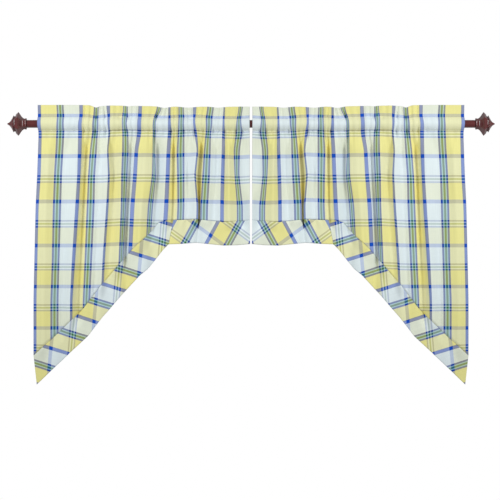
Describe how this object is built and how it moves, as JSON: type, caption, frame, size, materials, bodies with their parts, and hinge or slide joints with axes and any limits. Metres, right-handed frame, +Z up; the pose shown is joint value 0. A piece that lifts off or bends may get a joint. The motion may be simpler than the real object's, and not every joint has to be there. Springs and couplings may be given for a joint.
{
  "type": "window valance with curtain rod",
  "caption": "Rod-pocket swag valances in blue, yellow and white plaid with gathered ruffles, on a dark rod with hexagonal finials.",
  "frame": {"origin": "on the rod's axis, midway between the two panels", "axes": "+X along the rod to the right as seen from the room, -Y towards the room, +Z up"},
  "size_m": [1.5934, 0.067, 0.9134],
  "materials": {
    "plaid_cloth": "matt woven cotton plaid: blue and green stripes on yellow and white",
    "mahogany_finish": "glossy dark mahogany red-brown lacquer"
  },
  "bodies": {
    "root": {"rod": "mahogany_finish", "finial_left": "mahogany_finish", "finial_right": "mahogany_finish", "panel_left": "plaid_cloth", "panel_right": "plaid_cloth", "ruffle_side_left": "plaid_cloth", "ruffle_side_right": "plaid_cloth", "ruffle_top_left": "plaid_cloth", "ruffle_top_right": "plaid_cloth"}
  },
  "joints": []
}
